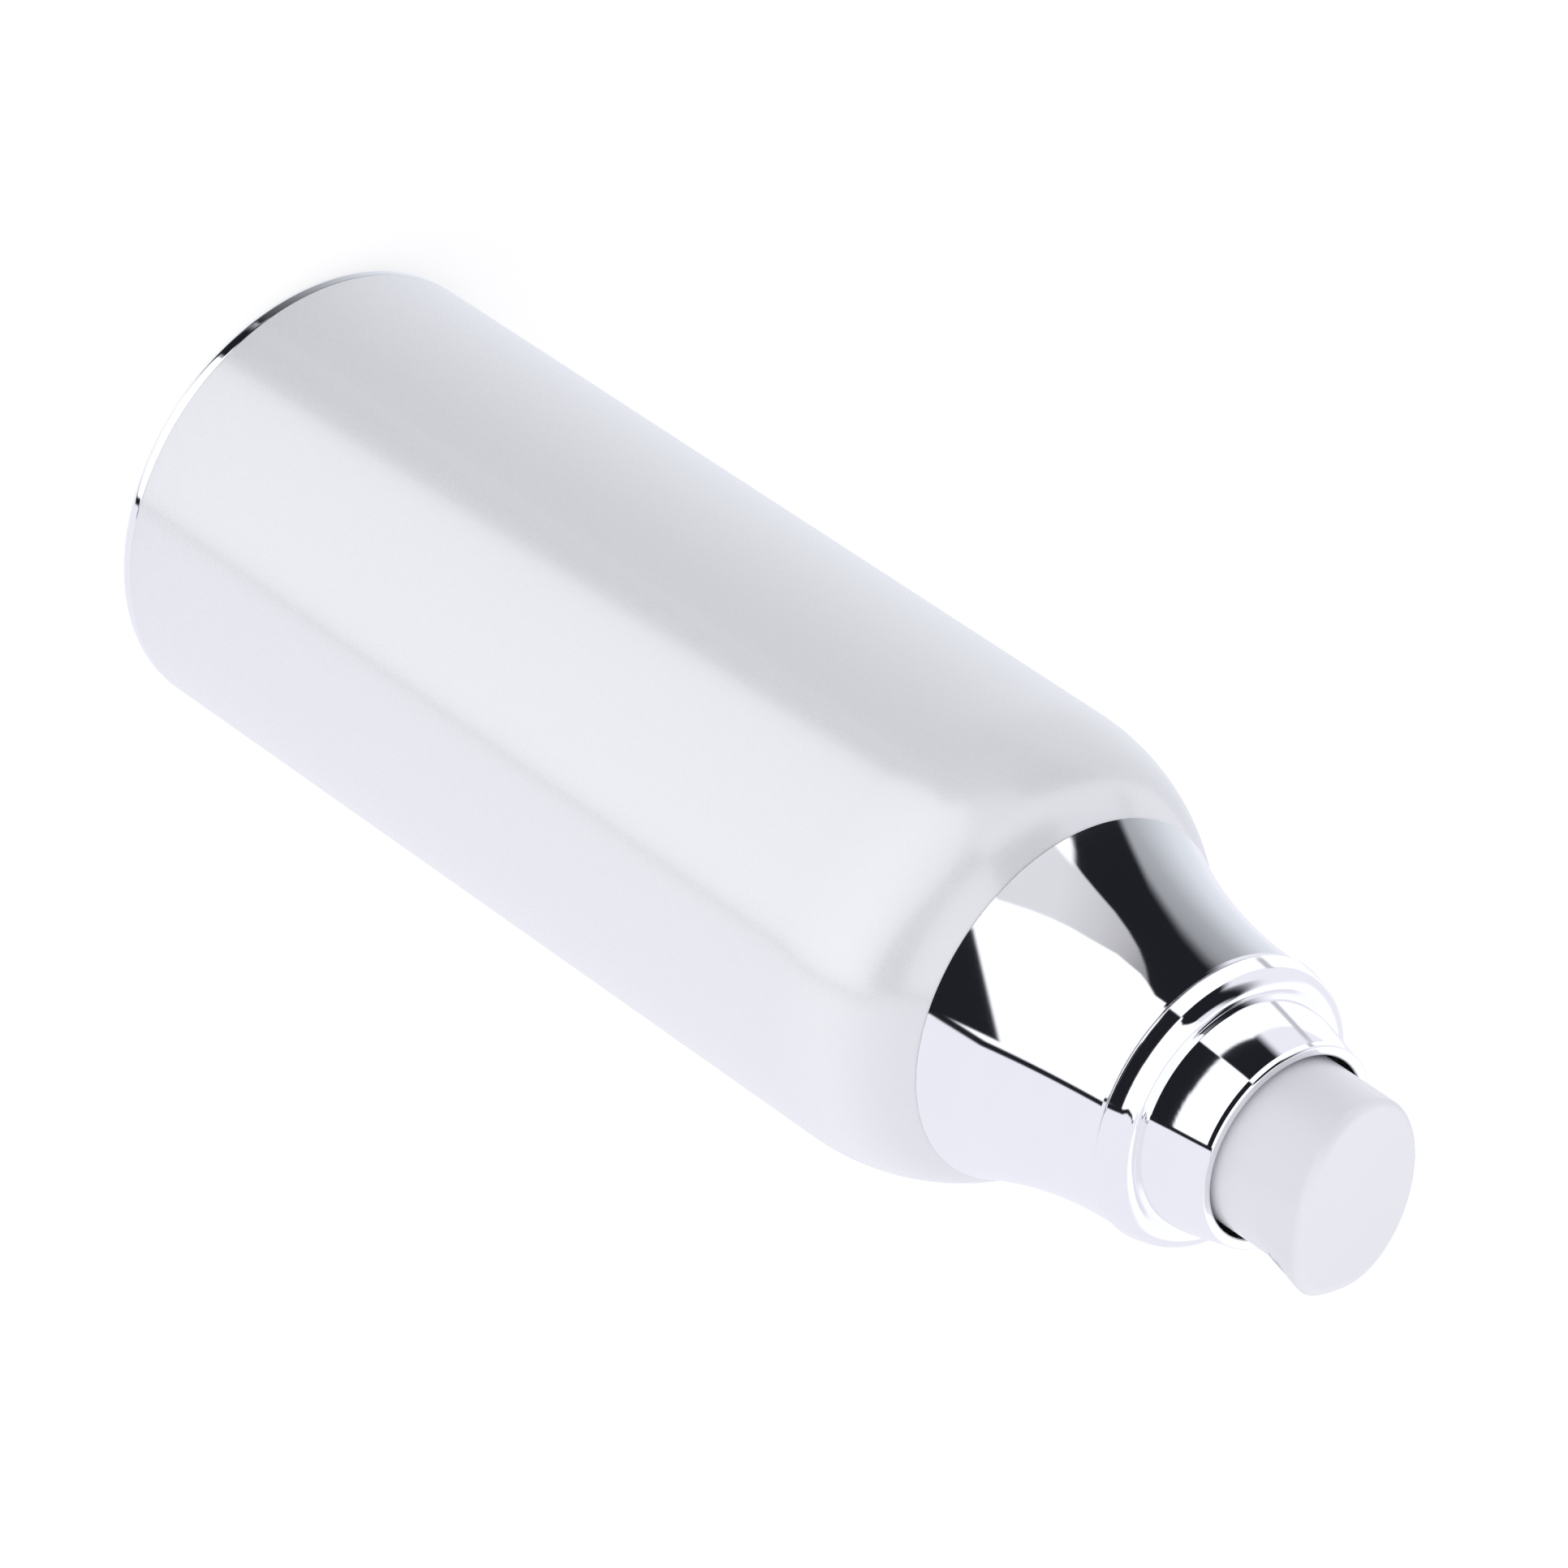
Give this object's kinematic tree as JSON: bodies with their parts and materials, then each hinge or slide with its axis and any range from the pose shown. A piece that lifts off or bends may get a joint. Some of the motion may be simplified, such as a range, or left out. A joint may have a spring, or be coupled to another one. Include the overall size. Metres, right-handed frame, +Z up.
{
  "type": "airless pump bottle",
  "caption": "Round airless pump bottle: pearl white body with domed shoulder, flared chrome sleeve, stepped chrome collar, slanted white finger button with beak, rising piston inside.",
  "frame": {"origin": "middle of the base, on the surface that the bottle stands on", "axes": "+Z up along the bottle's axis, +X towards the actuator's beak"},
  "size_m": [0.044, 0.044, 0.1412],
  "materials": {
    "pearl_white": "satin pearl white coating",
    "chrome_plate": "bright chrome plating",
    "button_white": "moulded white, half gloss",
    "liner_plastic": "natural milky plastic",
    "soft_white": "soft waxy plastic",
    "gasket_foam": "fine white foam",
    "pump_plastic": "natural moulded plastic",
    "spring_steel": "drawn stainless wire"
  },
  "bodies": {
    "bottle": {"outer_bottle": "pearl_white", "base_cap": "chrome_plate", "inner_bottle": "liner_plastic", "shoulder_sleeve": "chrome_plate"},
    "follower": {"follower_piston": "soft_white"},
    "pump": {"pump_housing": "pump_plastic", "valve_seat": "pump_plastic", "neck_gasket": "gasket_foam", "housing_retainer": "pump_plastic", "return_spring": "spring_steel"},
    "closure": {"screw_closure": "pump_plastic", "collar_ring": "chrome_plate"},
    "plunger": {"stem": "pump_plastic", "piston_rod": "pump_plastic"},
    "seal": {"pump_piston": "soft_white"},
    "head": {"actuator": "button_white", "orifice_insert": "button_white"},
    "ball": {"inlet_ball": "spring_steel"}
  },
  "joints": [
    {"name": "follower_rise", "type": "slide", "parent": "bottle", "child": "follower", "axis": [0, 0, 1], "range_m": [0, 0.0747]},
    {"name": "pump_lift", "type": "slide", "parent": "bottle", "child": "pump", "axis": [0, 0, 1], "range_m": [0, 0.0045]},
    {"name": "closure_turn", "type": "hinge", "parent": "pump", "child": "closure", "pos_m": [0, 0, 0.118], "axis": [0, 0, 1], "range_deg": [0, 540]},
    {"name": "actuator_press", "type": "slide", "parent": "pump", "child": "plunger", "axis": [0, 0, 1], "range_m": [-0.005, 0], "stiffness_N_per_m": 1000, "springref_m": 0.006, "deforming": ["return_spring"]},
    {"name": "head_swivel", "type": "hinge", "parent": "plunger", "child": "head", "pos_m": [0, 0, 0.13], "axis": [0, 0, 1], "continuous": true},
    {"name": "seal_slide", "type": "slide", "parent": "plunger", "child": "seal", "axis": [0, 0, 1], "range_m": [0, 0.0008]},
    {"name": "ball_lift", "type": "slide", "parent": "pump", "child": "ball", "axis": [0, 0, 1], "range_m": [0, 0.001]}
  ],
  "couplings": [
    {"joint": "closure_turn", "follows": "pump_lift", "rad_per_m": 2094.4}
  ]
}
